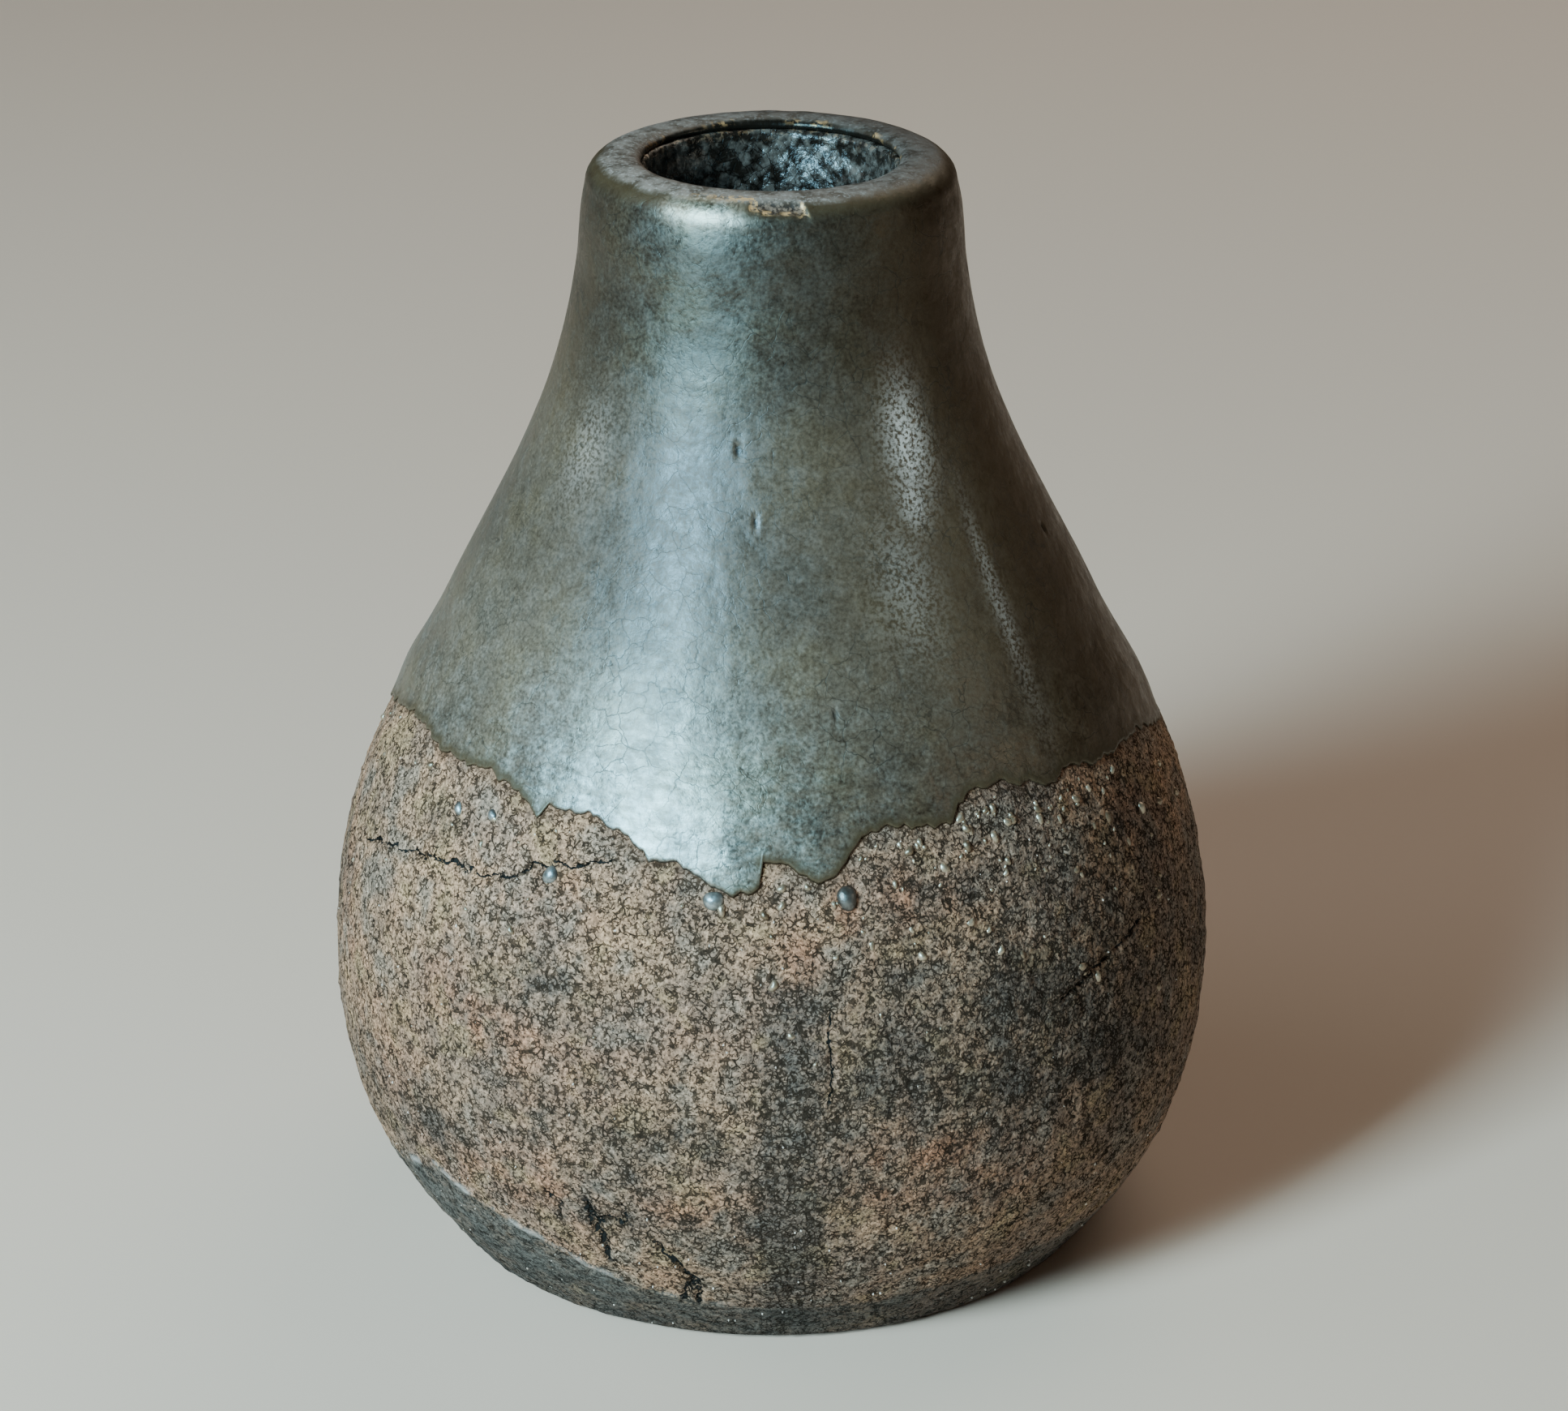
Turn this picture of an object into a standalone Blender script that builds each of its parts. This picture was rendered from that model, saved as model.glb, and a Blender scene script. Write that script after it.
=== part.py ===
"""A wheel-thrown bud vase: a pear-shaped clay body, its outer glaze, its liner glaze and stray glaze beads.

Metres, +Z up. The origin is the middle of the foot, on the surface that the vase stands on. The front faces -Y.
An outline is a list of (radius, height) pairs that is turned round the Z axis.
"""

import collections
import math

import bmesh
import bpy
from mathutils import Matrix, Vector
from mathutils.geometry import interpolate_bezier

# Driving dimensions
HEIGHT = 0.1400  # foot to the crest of the glazed rim
SEGMENTS = 40  # sides of every turned surface

GAP = 0.0003  # clearance between the clay and whatever is fused to it
COAT = 0.0005  # thickness of a glaze coat

FOOT_RADIUS = 0.0417  # flat face that the vase stands on
FOOT_CHAMFER = (0.00096, 0.0006)  # how far the foot's worn edge reaches out and up

# Anchors of the clay's two outlines, each from the bottom up. An anchor has a direction of travel upwards, in
# degrees from +X, and two reaches: how far the curve below it and the curve above it keep to that direction.
Anchor = collections.namedtuple("Anchor", "radius height slope reach_below reach_above")

TRIM_EDGE = Anchor(0.0485, 0.0085, 55, 0, 0.011)  # upper edge of the bevel that was trimmed round the foot
BELLY = Anchor(0.0561, 0.0360, 90, 0.007, 0.024)
SHOULDER = Anchor(0.0420, 0.0795, 116, 0.005, 0.024)
NECK = Anchor(0.0222, 0.1350, 94, 0.025, 0)

FLOOR = Anchor(0, 0.0090, 0, 0, 0.042)
INNER_BELLY = Anchor(0.0493, 0.0380, 90, 0.020, 0.020)
INNER_SHOULDER = Anchor(0.0357, 0.0785, 116, 0.006, 0.022)
THROAT = Anchor(0.0141, 0.1240, 90, 0.022, 0.005)
BORE = Anchor(0.0158, 0.1370, 77, 0.004, 0)  # the mouth flares above the throat

RIM_SET_IN = 0.0003  # the rim's outer side stands this far inside the top of the neck's curve
RIM_OUTER_ROUND = 0.0028  # radius of the rim's outer edge
RIM_INNER_ROUND = 0.0014  # radius of the rim's inner edge
RIM_INNER_STEPS = 4  # the liner covers all but the last of them, and the outer glaze starts after it

# The outer glaze stops at GLAZE_LINE, and runs lower in each drip: (azimuth from the front, drop, half-width).
# Azimuth is in degrees, positive towards +X. A negative drop is a bay where the glaze stops higher.
GLAZE_LINE = 0.0712
EVEN_ABOVE = 0.0780  # above this height the outer glaze is the same all round
DRIPS = (
    (-8, 0.0062, 15),
    (7, 0.0040, 6),
    (33, -0.0018, 7),
    (63, 0.0010, 9),
    (92, 0.0052, 12),
    (128, -0.0022, 11),
    (155, 0.0046, 10),
    (-158, 0.0030, 9),
    (-128, -0.0020, 12),
    (-97, 0.0036, 10),
    (-36, 0.0014, 5),
)

# Beads of glaze that ran past the line: name, azimuth, height, radius
BEADS = (
    ("glaze_bead_front", -7.6, 0.0631, 0.00125),
    ("glaze_bead_left", -31.2, 0.0633, 0.00110),
    ("glaze_bead_far_left", -50.4, 0.0667, 0.00085),
    ("glaze_bead_upper_left", -43.5, 0.0676, 0.00080),
    ("glaze_bead_right", 10.3, 0.0632, 0.00140),
)
BEAD_FLATNESS = 0.55  # thickness of a bead over its width
BEAD_SPAN = 0.002  # the clay's slope under a bead is taken from this far above it and below it

MERGE = 0.00001  # points closer than this are one point
SHARP_ANGLE = 40  # degrees

# Sub-part finishes: base colour, roughness, metallic
CLAY_FINISH = (0.150, 0.105, 0.080), 0.85, 0.0
OUTER_GLAZE_FINISH = (0.070, 0.078, 0.078), 0.38, 0.25
LINER_GLAZE_FINISH = (0.020, 0.019, 0.018), 0.18, 0.10
BEAD_FINISH = (0.160, 0.180, 0.190), 0.30, 0.10


def clear_scene():
    for obj in list(bpy.data.objects):
        bpy.data.objects.remove(obj)


def direction(angle):
    """A unit vector at an angle in degrees from +X."""
    return Vector((math.cos(math.radians(angle)), math.sin(math.radians(angle)), 0))


def curve_between(start, end, steps):
    """Points of the cubic curve from one anchor up to the next."""
    first = Vector((start.radius, start.height, 0))
    last = Vector((end.radius, end.height, 0))
    leave = first + direction(start.slope) * start.reach_above
    arrive = last - direction(end.slope) * end.reach_below
    points = interpolate_bezier(first, leave, arrive, last, steps + 1)
    return [(point.x, point.y) for point in points]


def quarter_round(centre, radius, from_angle, steps):
    """A quarter turn clockwise about centre, from from_angle in degrees."""
    angles = [math.radians(from_angle - 90 * step / steps) for step in range(steps + 1)]
    return [(centre[0] + radius * math.cos(a), centre[1] + radius * math.sin(a)) for a in angles]


def outer_outline():
    """The clay's outer side, from the trimmed edge up to the start of the rim's rounding."""
    lower = curve_between(TRIM_EDGE, BELLY, 4)
    middle = curve_between(BELLY, SHOULDER, 7)
    upper = curve_between(SHOULDER, NECK, 8)
    return lower + middle[1:] + upper[1:]


def inner_outline():
    """The clay's inner side, from the middle of the floor up through the throat to the mouth."""
    floor = curve_between(FLOOR, INNER_BELLY, 7)
    wall = curve_between(INNER_BELLY, INNER_SHOULDER, 4)
    throat = curve_between(INNER_SHOULDER, THROAT, 6)
    mouth = curve_between(THROAT, BORE, 3)
    return floor + wall[1:] + throat[1:] + mouth[1:]


def rim_outline():
    """Over the clay's rim, from the bore's side to the neck's side."""
    top = HEIGHT - GAP - COAT
    inner_centre = (BORE.radius + RIM_INNER_ROUND, top - RIM_INNER_ROUND)
    outer_centre = (NECK.radius - RIM_SET_IN - RIM_OUTER_ROUND, top - RIM_OUTER_ROUND)
    inner = quarter_round(inner_centre, RIM_INNER_ROUND, 180, RIM_INNER_STEPS)
    outer = quarter_round(outer_centre, RIM_OUTER_ROUND, 90, 4)
    return inner + outer


def foot_outline():
    """From the trimmed bevel to the middle of the flat foot."""
    return [(FOOT_RADIUS + FOOT_CHAMFER[0], FOOT_CHAMFER[1]), (FOOT_RADIUS, 0), (0, 0)]


def offset_outline(outline, distance):
    """The outline moved to the left of its direction of travel; its ends keep their own direction."""
    moved = []
    for index, point in enumerate(outline):
        before = outline[max(index - 1, 0)]
        after = outline[min(index + 1, len(outline) - 1)]
        travel = Vector((after[0] - before[0], after[1] - before[1])).normalized()
        moved.append((max(point[0] - travel.y * distance, 0), point[1] + travel.x * distance))
    return moved


def radius_at(outline, height):
    """Radius of an upward outline at a height."""
    for (r0, z0), (r1, z1) in zip(outline, outline[1:]):
        if z0 <= height <= z1:
            return r0 + (r1 - r0) * (height - z0) / (z1 - z0)
    raise ValueError(f"no outline at {height}")


def glaze_edge(azimuth):
    """Height of the outer glaze's ragged lower edge at an azimuth in degrees from the front."""
    height = GLAZE_LINE
    for centre, drop, width in DRIPS:
        away = (azimuth - centre + 180) % 360 - 180
        height -= drop * math.exp(-((away / width) ** 2))
    return height


def material(name, finish):
    colour, roughness, metallic = finish
    made = bpy.data.materials.new(name)
    made.use_nodes = True
    shader = made.node_tree.nodes["Principled BSDF"]
    shader.inputs["Base Color"].default_value = (*colour, 1)
    shader.inputs["Roughness"].default_value = roughness
    shader.inputs["Metallic"].default_value = metallic
    made.diffuse_color = (*colour, 1)
    return made


def add_object(name, mesh, finish):
    obj = bpy.data.objects.new(name, mesh)
    bpy.context.scene.collection.objects.link(obj)
    mesh.materials.append(material(name, finish))
    mesh.shade_smooth()
    mesh.set_sharp_from_angle(angle=math.radians(SHARP_ANGLE))
    return obj


def mesh_from(bm, name):
    mesh = bpy.data.meshes.new(name)
    bm.to_mesh(mesh)
    bm.free()
    return mesh


def turned_clay():
    """One closed outline turned by a Screw modifier. It runs down its outer side, so that its faces look out."""
    outline = inner_outline() + rim_outline() + outer_outline()[::-1] + foot_outline()
    bm = bmesh.new()
    corners = [bm.verts.new((radius, 0, height)) for radius, height in outline]
    for pair in zip(corners, corners[1:]):
        bm.edges.new(pair)
    clay = add_object("clay_body", mesh_from(bm, "clay_body"), CLAY_FINISH)
    screw = clay.modifiers.new("Turn", "SCREW")
    screw.axis = "Z"
    screw.steps = SEGMENTS
    screw.render_steps = SEGMENTS
    screw.use_merge_vertices = True
    screw.merge_threshold = MERGE
    screw.use_smooth_shade = True
    return clay


def shell(name, outline_at, finish):
    """A coat over the clay. outline_at(azimuth) is its underside, and Solidify thickens it outwards."""
    bm = bmesh.new()
    columns = []
    for step in range(SEGMENTS):
        turn = math.tau * step / SEGMENTS
        azimuth = math.degrees(turn) + 90  # the front is -Y
        columns.append(
            [
                bm.verts.new((radius * math.cos(turn), radius * math.sin(turn), height))
                for radius, height in outline_at(azimuth)
            ]
        )
    for step, column in enumerate(columns):
        following = columns[(step + 1) % SEGMENTS]
        for row in range(len(column) - 1):
            bm.faces.new((column[row], column[row + 1], following[row + 1], following[row]))
    bmesh.ops.remove_doubles(bm, verts=bm.verts, dist=MERGE)
    coat = add_object(name, mesh_from(bm, name), finish)
    solidify = coat.modifiers.new("Coat", "SOLIDIFY")
    solidify.thickness = COAT
    solidify.offset = 1
    solidify.use_even_offset = True
    return coat


def outer_glaze():
    """Covers the rim's top, the neck and the shoulder, down to the ragged glaze line."""
    clay_side = outer_outline()
    rim = rim_outline()[RIM_INNER_STEPS:]
    fixed = [point for point in clay_side[::-1] if point[1] > EVEN_ABOVE]

    def outline(azimuth):
        edge = glaze_edge(azimuth)
        last_fixed = fixed[-1][1]
        ends = [last_fixed + (edge - last_fixed) * part for part in (0.5, 1)]
        low = [(radius_at(clay_side, height), height) for height in ends]
        return offset_outline(rim + fixed + low, GAP)

    return shell("outer_glaze", outline, OUTER_GLAZE_FINISH)


def liner_glaze():
    """Lines the bore and the whole inside, from the middle of the floor to the rim's inner edge."""
    inner = inner_outline() + rim_outline()[:RIM_INNER_STEPS]
    return shell("liner_glaze", lambda azimuth: offset_outline(inner, GAP), LINER_GLAZE_FINISH)


def glaze_bead(name, azimuth, height, radius):
    """A flattened drop that sits on the clay, square to its surface."""
    clay_side = outer_outline()
    widening = radius_at(clay_side, height + BEAD_SPAN) - radius_at(clay_side, height - BEAD_SPAN)
    normal = Vector((2 * BEAD_SPAN, -widening)).normalized()
    half_thickness = radius * BEAD_FLATNESS
    out = half_thickness + GAP
    place = (radius_at(clay_side, height) + normal.x * out, height + normal.y * out)

    bm = bmesh.new()
    bmesh.ops.create_icosphere(bm, subdivisions=2, radius=radius)
    bmesh.ops.scale(bm, vec=(BEAD_FLATNESS, 1, 1), verts=bm.verts)
    bead = add_object(name, mesh_from(bm, name), BEAD_FINISH)
    turn = Matrix.Rotation(math.radians(azimuth - 90), 4, "Z")
    tilt = Matrix.Rotation(-math.atan2(normal.y, normal.x), 4, "Y")
    bead.matrix_world = turn @ Matrix.Translation((place[0], 0, place[1])) @ tilt
    return bead


def main():
    clear_scene()
    turned_clay()
    outer_glaze()
    liner_glaze()
    for bead in BEADS:
        glaze_bead(*bead)


main()
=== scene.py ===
"""The looks of a wheel-thrown bud vase: bare granular clay below, a satin gunmetal glaze above.

The frame's clay solid gives the outline. Every surface is turned from that outline on a fine polar grid and
then carved: each piece is one closed skin with rows along the outline and columns round the axis.
Lengths are metres. Azimuths are degrees from the front, -Y, and positive towards +X.
"""

import itertools
import math

import bpy
import numpy as np
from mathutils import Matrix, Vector


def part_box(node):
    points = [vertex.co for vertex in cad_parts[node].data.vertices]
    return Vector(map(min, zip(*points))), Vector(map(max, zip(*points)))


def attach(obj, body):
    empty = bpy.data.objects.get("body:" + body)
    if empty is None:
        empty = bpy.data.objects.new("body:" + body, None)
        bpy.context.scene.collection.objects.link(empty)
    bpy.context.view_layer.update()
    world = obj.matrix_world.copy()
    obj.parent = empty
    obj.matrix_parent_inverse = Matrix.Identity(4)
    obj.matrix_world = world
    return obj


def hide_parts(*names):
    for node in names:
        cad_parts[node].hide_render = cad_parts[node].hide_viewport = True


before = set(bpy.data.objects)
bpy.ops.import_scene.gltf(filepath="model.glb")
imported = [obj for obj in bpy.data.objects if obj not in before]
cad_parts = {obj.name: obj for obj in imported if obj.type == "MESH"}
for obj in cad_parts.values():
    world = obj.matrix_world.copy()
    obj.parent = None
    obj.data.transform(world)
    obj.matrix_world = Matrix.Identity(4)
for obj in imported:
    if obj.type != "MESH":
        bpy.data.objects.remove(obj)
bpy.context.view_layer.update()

MM = 0.001
COLUMNS = 720  # round the axis
LINER_EVERY = 2  # the liner has a column for every second one of the others
EDGE_ROWS = 46  # of the outer coat, crowding towards its ragged edge
GRIT_COUNT = 230
GROG_COUNT = 520
VASE_HEIGHT = 140 * MM

# The line where the outer glaze stopped, as (azimuth, height in mm): it has drips and bays.
GLAZE_EDGE = (
    (-85, 70), (-70, 72.5), (-60, 71.5), (-46, 72), (-40, 71), (-35.5, 69), (-34, 70.4), (-27, 71),
    (-22, 69.6), (-17, 67.2), (-13, 67.2), (-9.5, 66), (-7, 64.7), (-3, 63.8), (-1.5, 64.8), (-1, 67.5),
    (2.5, 67.5), (4, 66), (6.5, 65.3), (9, 66), (11.5, 68.5), (13, 70.2), (17, 70.8), (27, 69.6),
    (28.5, 71.8), (32.5, 73), (38, 72.6), (47, 70.8), (49.5, 72), (59, 70.6), (74, 70), (84, 67.5),
    (93, 65.2), (101, 66.5), (108, 70.5), (126, 73.2), (138, 71.5), (150, 67), (157, 66), (164, 69),
    (176, 71.5), (190, 70.5), (198, 68.6), (205, 68), (213, 70.5), (231, 73), (246, 71.5), (257, 68),
    (264, 67), (269, 69),
)

# The upper edge of the trimmed foot, in the same terms
FOOT_EDGE = (
    (-78, 12), (-64, 16), (-50, 20), (-42, 17.6), (-33, 15), (-26, 12), (-18, 9.4), (-6, 7.6), (14, 7.5),
    (40, 9.5), (75, 10), (120, 12), (165, 15), (205, 11), (250, 9.5),
)

# Coat thicknesses: the full coat reaches the frame's glaze surface, and it thins towards its edge
LIP_THICKNESS = 0.24 * MM
LIP_ROUND = 0.45 * MM
RIM_TURN = 2.0 * MM  # how far the outer coat rolls over the rim's inner edge
EDGE_THINNING = 7 * MM
SUNK = 0.15 * MM  # how far a coat's underside lies inside the clay

# Cracks in the clay as (azimuth, height in mm) runs, each with its half-width in mm
CRACKS = (
    (0.30, ((-14.8, 18.3), (-14.1, 16.7), (-12.8, 15.8), (-11.8, 13.9), (-10.2, 12.3))),
    (0.30, ((-10.2, 12.3), (-10.4, 10.4), (-10.4, 8))),
    (0.22, ((-10.2, 12.3), (-11.6, 11.2), (-12.8, 8.6))),
    (0.34, ((-24, 23), (-23.4, 20.2), (-22.8, 19), (-22.4, 17.3), (-22.5, 14.4))),
    (0.22, ((-23.2, 19.9), (-21.1, 21.6), (-19.2, 21), (-18.8, 23.4))),
    (0.24, ((-29.6, 23), (-28.2, 22.2), (-28.6, 20.6))),
    (0.16, ((-71, 56.5), (-67.5, 58), (-64, 58.4), (-62, 59.4))),
    (0.13, ((-60.5, 59), (-57, 60.2), (-54.4, 60))),
    (0.17, ((-53, 60.8), (-50.5, 60.6), (-48, 61.5), (-45.6, 61))),
    (0.12, ((-44.8, 61.6), (-42, 61.1), (-39.6, 62.2))),
    (0.16, ((-38.6, 61.8), (-35.4, 63), (-34.2, 64.6), (-31.5, 64.4))),
    (0.12, ((-30.4, 65.2), (-28, 65), (-25, 66.2), (-22.6, 66.4))),
    (0.10, ((7.4, 51), (7.2, 47), (7.6, 43.5), (7.2, 40))),
    (0.13, ((56, 51.6), (50, 50), (45, 49), (39.5, 47))),
    (0.18, ((143, 30), (146, 27.5), (145, 24.5), (149, 20.5), (150, 17))),
    (0.14, ((146, 27.5), (151, 27), (153, 24.8))),
    (0.16, ((205, 58), (213, 56.8), (219, 57.6), (228, 55.4), (236, 55.8))),
    (0.15, ((98, 25), (99.5, 21.5), (98, 18), (100, 14.4))),
)
CRACK_DEPTH = 0.55 * MM

# Patches on the clay: (azimuth, height in mm, reach round the vase in mm, reach up in mm, strength)
# The dark ones are smoky stains, and on the right side partly painted shade
SMOKE_AND_SHADE = (
    (-31, 51, 8, 4, 1.3), (-39, 54, 6, 4, 0.5), (-26, 36, 21, 8, 0.5), (14, 40, 9, 8, 0.9),
    (-10, 32, 7, 6, 0.9), (-22, 21, 7, 4, 0.7), (42, 37, 9, 6, 1.3), (34, 40, 13, 5, 1.1),
    (-16, 33, 6, 4.5, 1.4), (-19, 28, 6, 3.5, 1.4), (-47, 27, 6, 4, 1.1), (-5, 22, 7, 5, 0.9),
    (40, 52, 16, 12, 0.7), (-53, 65, 4, 2.5, 0.9), (5, 43, 5, 7, 0.5), (2, 22, 5, 10, 0.7),
    (26, 24, 9, 4, 0.6), (40, 33, 22, 16, 0.6), (88, 45, 16, 12, 0.7), (118, 28, 14, 8, 0.9),
    (160, 50, 18, 10, 0.6), (190, 33, 10, 9, 1.0), (12, 35, 11, 16, 0.7), (17, 53, 7, 4, 0.8),
    (7, 52, 5, 6, 0.6), (16, 47, 6, 11, 0.6), (22, 60, 10, 6, 0.5), (-50, 30, 8, 5, 0.6),
    (-20, 31, 6, 4, 0.7), (222, 44, 12, 6, 0.7), (250, 30, 10, 10, 0.9), (275, 50, 9, 9, 0.6),
    (290, 24, 12, 6, 0.6),
)
RUST = (
    (-38, 45, 8, 4, 1.3), (-33, 62, 12, 4, 0.7), (-37, 24, 11, 5, 1.0), (-7, 24, 9, 4, 1.0),
    (-44, 48, 7, 5, 0.6), (20, 63, 8, 4, 0.8), (5, 62, 5, 3, 0.7), (3, 56, 4, 5, 1.3),
    (10, 60, 3, 6, 1.2), (12, 30, 5, 5, 0.8), (21, 32, 5, 4, 0.7), (-16, 45, 12, 6, 0.4),
    (-60, 38, 9, 7, 0.6), (70, 60, 9, 5, 0.6), (104, 52, 10, 6, 0.7), (135, 40, 9, 7, 0.8),
    (170, 24, 12, 6, 0.9), (208, 60, 12, 4, 0.7), (236, 27, 10, 7, 0.8), (262, 60, 9, 6, 0.6),
    (300, 33, 9, 8, 0.7),
)

# Pale blooms on the glaze, in the same terms; the first two are partly a painted highlight of the side light
BLOOMS_AND_HIGHLIGHTS = (
    (36, 111, 4.5, 6, 0.9), (34, 104, 3, 3, 0.6), (48, 90, 1.6, 11, 0.35), (-50, 108, 5, 5, 0.18),
    (28, 95, 5, 7, 0.2), (130, 105, 5, 7, 0.6), (172, 88, 4, 8, 0.4), (215, 98, 7, 5, 0.5),
    (251, 112, 4, 6, 0.4),
)

# Pinholes that burst through the glaze: (azimuth, height in mm, radius in mm)
PINHOLES = (
    (-7.9, 111, 0.55), (-3.3, 103.5, 0.5), (22.9, 86.2, 0.5), (10.6, 82.5, 0.45), (-56.4, 89.8, 0.35),
    (74, 95, 0.45), (112, 84, 0.5), (147, 101, 0.4), (193, 90, 0.5), (229, 107, 0.45), (262, 82, 0.4),
)

# The chip on the rim's outer edge, where the glaze broke away
CHIP = {"azimuth": 2.5, "half_width": 10.5, "bottom": 138.0 * MM, "depth": 0.50 * MM}

# The camera looks down on the vase from the front
CAMERA_LENS = 102.4
CAMERA_PLACE = (0.0016, -0.5250, 0.2845)
CAMERA_TILT = 22.45  # degrees below the horizon

FLOOR_COLOUR = (0.68, 0.565, 0.48)
SKY_COLOUR = (1.0, 0.74, 0.48)
SKY_STRENGTH = 0.050
LIT_HEIGHT = 75 * MM  # the lights face this point of the axis


# ---- noise


def random_at(cell, seed):
    """A number from 0 to 1 for each integer cell, by hashing its place."""
    h = cell[..., 0] * 73856093 ^ cell[..., 1] * 19349663 ^ cell[..., 2] * 83492791 ^ seed * 2654435761
    h = (h ^ (h >> 15)) * 0x2C1B3C6D & 0xFFFFFFFF
    h = (h ^ (h >> 12)) * 0x297A2D39 & 0xFFFFFFFF
    return (h ^ (h >> 15)) / 0xFFFFFFFF


def noise(points, size, seed):
    """Smooth noise from -1 to 1 whose features are about size across."""
    scaled = points / size
    cell = np.floor(scaled).astype(np.int64)
    part = scaled - cell
    part = part * part * (3 - 2 * part)
    total = 0
    for corner in itertools.product((0, 1), repeat=3):
        weight = np.prod(np.where(corner, part, 1 - part), axis=-1)
        total = total + weight * random_at(cell + corner, seed)
    return 2 * total - 1


def layered(points, size, seed, octaves=3):
    """Noise with finer noise added to it, each layer half the size and half the height."""
    layers = [noise(points, size / 2**k, seed + k) / 2**k for k in range(octaves)]
    return sum(layers) / (2 - 0.5 ** (octaves - 1))


def cells(points, size, seed):
    """Distance to the nearest of scattered seeds, in cell sizes, and that seed's number from 0 to 1."""
    scaled = points / size
    cell = np.floor(scaled).astype(np.int64)
    nearest = np.full(points.shape[:-1], 9.0)
    number = nearest.copy()
    for step in itertools.product((-1, 0, 1), repeat=3):
        at = cell + step
        place = at + np.stack([random_at(at, seed + k) for k in range(3)], axis=-1)
        away = np.linalg.norm(scaled - place, axis=-1)
        number = np.where(away < nearest, random_at(at, seed + 3), number)
        nearest = np.minimum(nearest, away)
    return nearest, number


def ease(value, low, high):
    """0 below low, 1 above high and a smooth step between."""
    part = np.clip((value - low) / (high - low), 0, 1)
    return part * part * (3 - 2 * part)


def bell(value, width, power=2):
    """1 where value is 0, falling to 1/e at width. A higher power gives a flatter top."""
    return np.exp(-(np.abs(value / width) ** power))


def degrees_from(centre, azimuth):
    """Degrees round the vase from centre to azimuth, from -180 to 180."""
    return (azimuth - centre + 180) % 360 - 180


# ---- outline


def clay_outline():
    """(radius, height) points of the frame's clay, from the middle of its floor, over the rim to its foot."""
    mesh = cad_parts["clay_body"].data

    def place(index):
        corner = mesh.vertices[index].co
        return round(corner.x, 6), round(corner.z, 6)

    column = {v.index for v in mesh.vertices if abs(v.co.y) < 1e-6 and v.co.x > -1e-6}
    links = {}
    for edge in mesh.edges:
        a, b = edge.vertices
        if a in column and b in column and place(a) != place(b):
            links.setdefault(place(a), set()).add(place(b))
            links.setdefault(place(b), set()).add(place(a))
    path = [max((point for point in links if point[0] < 1e-6), key=lambda point: point[1])]
    while onward := links[path[-1]] - set(path):
        path.append(max(onward))
    return np.array(path)


class Outline:
    """The clay's section as one smooth line, read by the length along it from the middle of the floor."""

    STEP = 0.05 * MM

    def __init__(self, points):
        trim = next(k for k in range(len(points) - 1, 0, -1) if points[k, 1] > 5 * MM)
        self.line = np.vstack([self.curve(points[: trim + 1]), points[trim + 1 :]])
        gaps = np.hypot(*np.diff(self.line, axis=0).T)
        self.along = np.concatenate([[0], np.cumsum(gaps)])
        self.length = self.along[-1]
        top = self.line[:, 1].argmax()
        crest = np.flatnonzero(self.line[:, 1] > self.line[top, 1] - 0.01 * MM)
        self.lip = self.along[crest[0]]  # inner end of the rim's flat top
        self.shoulder = self.along[crest[-1]]  # outer end of the rim's flat top

    def curve(self, points):
        """A cubic curve through the points, as close-set points."""
        gaps = np.hypot(*np.diff(points, axis=0).T)
        ends = np.concatenate([[0], np.cumsum(gaps)])
        slopes = np.gradient(points, ends, axis=0)
        at = np.linspace(0, ends[-1], int(ends[-1] / self.STEP))
        k = np.clip(np.searchsorted(ends, at) - 1, 0, len(gaps) - 1)
        gap = gaps[k][:, None]
        u = ((at - ends[k]) / gaps[k])[:, None]
        return (
            (2 * u**3 - 3 * u**2 + 1) * points[k]
            + (u**3 - 2 * u**2 + u) * gap * slopes[k]
            + (3 * u**2 - 2 * u**3) * points[k + 1]
            + (u**3 - u**2) * gap * slopes[k + 1]
        )

    def at(self, along):
        """Radius, height and the outward normal's radial and upward parts at lengths along the outline."""
        radius = np.interp(along, self.along, self.line[:, 0])
        height = np.interp(along, self.along, self.line[:, 1])
        ahead = np.minimum(along + 4 * self.STEP, self.length)
        behind = np.maximum(along - 4 * self.STEP, 0)
        across, up = (np.interp(ahead, self.along, c) - np.interp(behind, self.along, c) for c in self.line.T)
        size = np.hypot(across, up)
        return radius, height, -up / size, across / size

    def along_at(self, height):
        """Length along the outline where its outer side is at a height."""
        outer = self.along > self.shoulder
        return np.interp(-height, -self.line[outer, 1], self.along[outer])


outline = Outline(clay_outline())
turns = np.radians(np.arange(COLUMNS) * 360 / COLUMNS)  # anticlockwise from the front
azimuths = np.degrees(turns)


def place_points(along, lift, turn=turns):
    """Points on the turned outline, raised by lift along its normal. along and lift are rows by columns."""
    radius, height, out, up = outline.at(along)
    reach = radius + lift * out
    return np.stack([reach * np.sin(turn), -reach * np.cos(turn), height + lift * up], axis=-1)


def level_at(points, azimuth):
    """Height at an azimuth of a line round the vase through (azimuth, height in mm) points."""
    around, heights = np.array(points).T
    around = np.concatenate([around - 360, around, around + 360])
    return np.interp(degrees_from(0, azimuth), around, np.tile(heights, 3)) * MM


def glaze_edge_at(azimuth):
    """Height of the outer glaze's edge, with the small raggedness that the granular clay gives it."""
    main = level_at(GLAZE_EDGE, azimuth)
    turn = np.radians(azimuth)
    ring = np.stack([50 * MM * np.sin(turn), -50 * MM * np.cos(turn), 0 * turn], axis=-1)
    return main + 0.40 * MM * noise(ring, 1.6 * MM, 11) + 0.30 * MM * noise(ring, 0.7 * MM, 12)


edge_along = outline.along_at(glaze_edge_at(azimuths))
EDGE_RADIUS = float(outline.at(edge_along)[0].mean())
SEARCH = 24


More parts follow.
